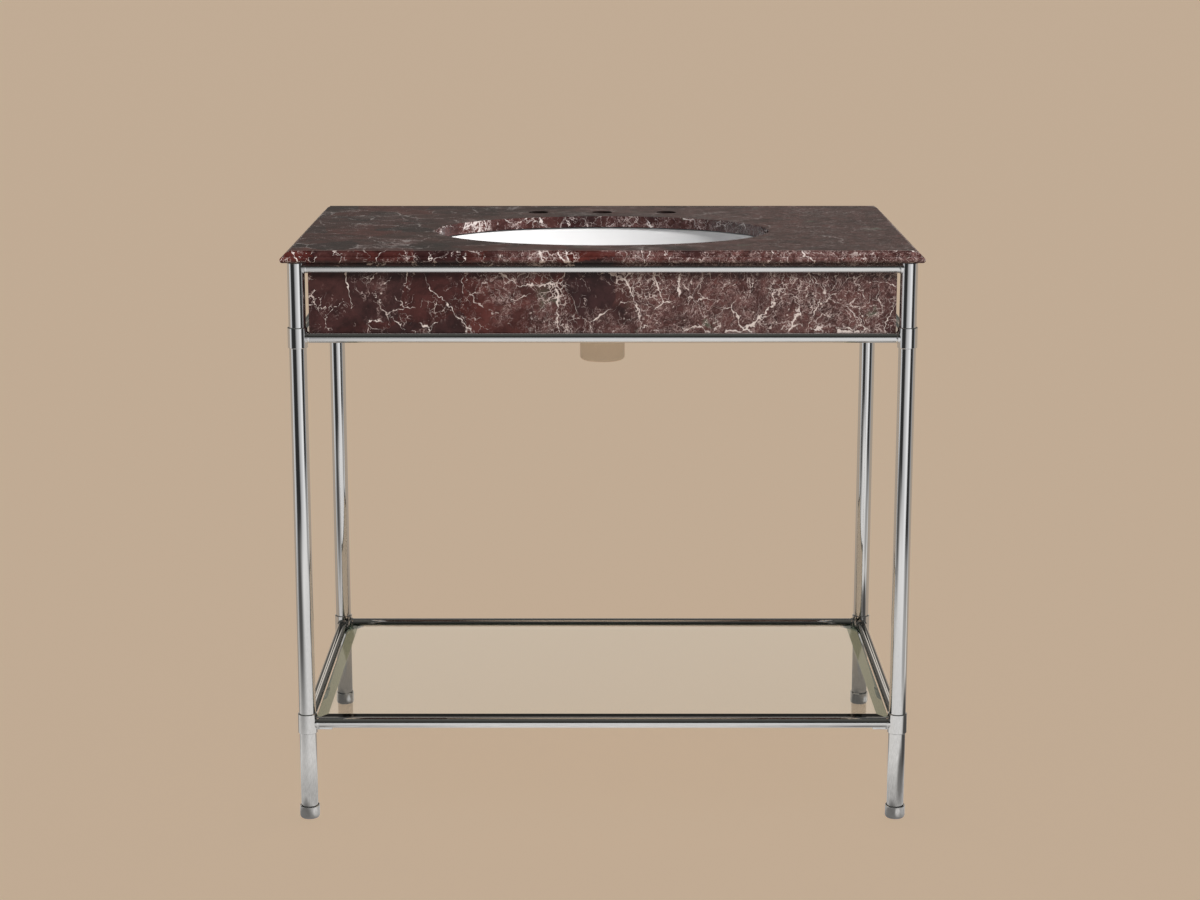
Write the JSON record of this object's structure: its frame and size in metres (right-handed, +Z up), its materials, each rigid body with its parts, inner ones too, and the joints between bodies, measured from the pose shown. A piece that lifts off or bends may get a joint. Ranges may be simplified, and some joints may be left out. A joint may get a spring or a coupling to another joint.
{
  "type": "washstand",
  "caption": "Console washstand: moulded marble slab and apron on a polished tube frame, with an oval undermount basin, a bevelled glass shelf and levelling feet.",
  "frame": {"origin": "floor level, centred under the slab", "axes": "+X to the right seen from the front, +Y towards the wall, +Z up; the front faces -Y"},
  "size_m": [0.914, 0.559, 0.851],
  "materials": {
    "marble": "polished",
    "vitreous_china": "gloss glaze",
    "polished_chrome": "mirror polished",
    "shelf_glass": "clear, polished",
    "silicone": "satin",
    "steel": "zinc plated",
    "brass": "turned"
  },
  "bodies": {
    "washstand": {"marble_top": "marble", "marble_apron": "marble", "apron_brackets": "steel", "apron_bracket_screws": "steel", "basin": "vitreous_china", "basin_seal": "silicone", "basin_clips": "steel", "basin_clip_studs": "steel", "basin_clip_nuts": "brass", "leg_front_left": "polished_chrome", "leg_front_right": "polished_chrome", "leg_back_left": "polished_chrome", "leg_back_right": "polished_chrome", "leg_plugs": "brass", "leg_bushes": "brass", "slab_pads": "silicone", "apron_collar_front_left": "polished_chrome", "apron_collar_front_right": "polished_chrome", "apron_collar_back_left": "polished_chrome", "apron_collar_back_right": "polished_chrome", "shelf_collar_front_left": "polished_chrome", "shelf_collar_front_right": "polished_chrome", "shelf_collar_back_left": "polished_chrome", "shelf_collar_back_right": "polished_chrome", "collar_grub_screws": "steel", "top_rail_front": "polished_chrome", "top_rail_back": "polished_chrome", "top_rail_left": "polished_chrome", "top_rail_right": "polished_chrome", "apron_rail_front": "polished_chrome", "apron_rail_back": "polished_chrome", "apron_rail_left": "polished_chrome", "apron_rail_right": "polished_chrome", "shelf_rail_front": "polished_chrome", "shelf_rail_back": "polished_chrome", "shelf_rail_left": "polished_chrome", "shelf_rail_right": "polished_chrome", "shelf_tabs": "polished_chrome", "shelf_pads": "silicone"},
    "foot_front_left": {"foot_front_left": "polished_chrome", "foot_stud_front_left": "steel"},
    "foot_front_right": {"foot_front_right": "polished_chrome", "foot_stud_front_right": "steel"},
    "foot_back_left": {"foot_back_left": "polished_chrome", "foot_stud_back_left": "steel"},
    "foot_back_right": {"foot_back_right": "polished_chrome", "foot_stud_back_right": "steel"},
    "shelf": {"glass_shelf": "shelf_glass"}
  },
  "joints": [
    {"name": "level_front_left", "type": "slide", "parent": "washstand", "child": "foot_front_left", "axis": [0, 0, -1], "range_m": [0, 0.01]},
    {"name": "level_front_right", "type": "slide", "parent": "washstand", "child": "foot_front_right", "axis": [0, 0, -1], "range_m": [0, 0.01]},
    {"name": "level_back_left", "type": "slide", "parent": "washstand", "child": "foot_back_left", "axis": [0, 0, -1], "range_m": [0, 0.01]},
    {"name": "level_back_right", "type": "slide", "parent": "washstand", "child": "foot_back_right", "axis": [0, 0, -1], "range_m": [0, 0.01]},
    {"name": "shelf_lift", "type": "slide", "parent": "washstand", "child": "shelf", "axis": [0, 0, 1], "range_m": [0, 0.3]}
  ]
}
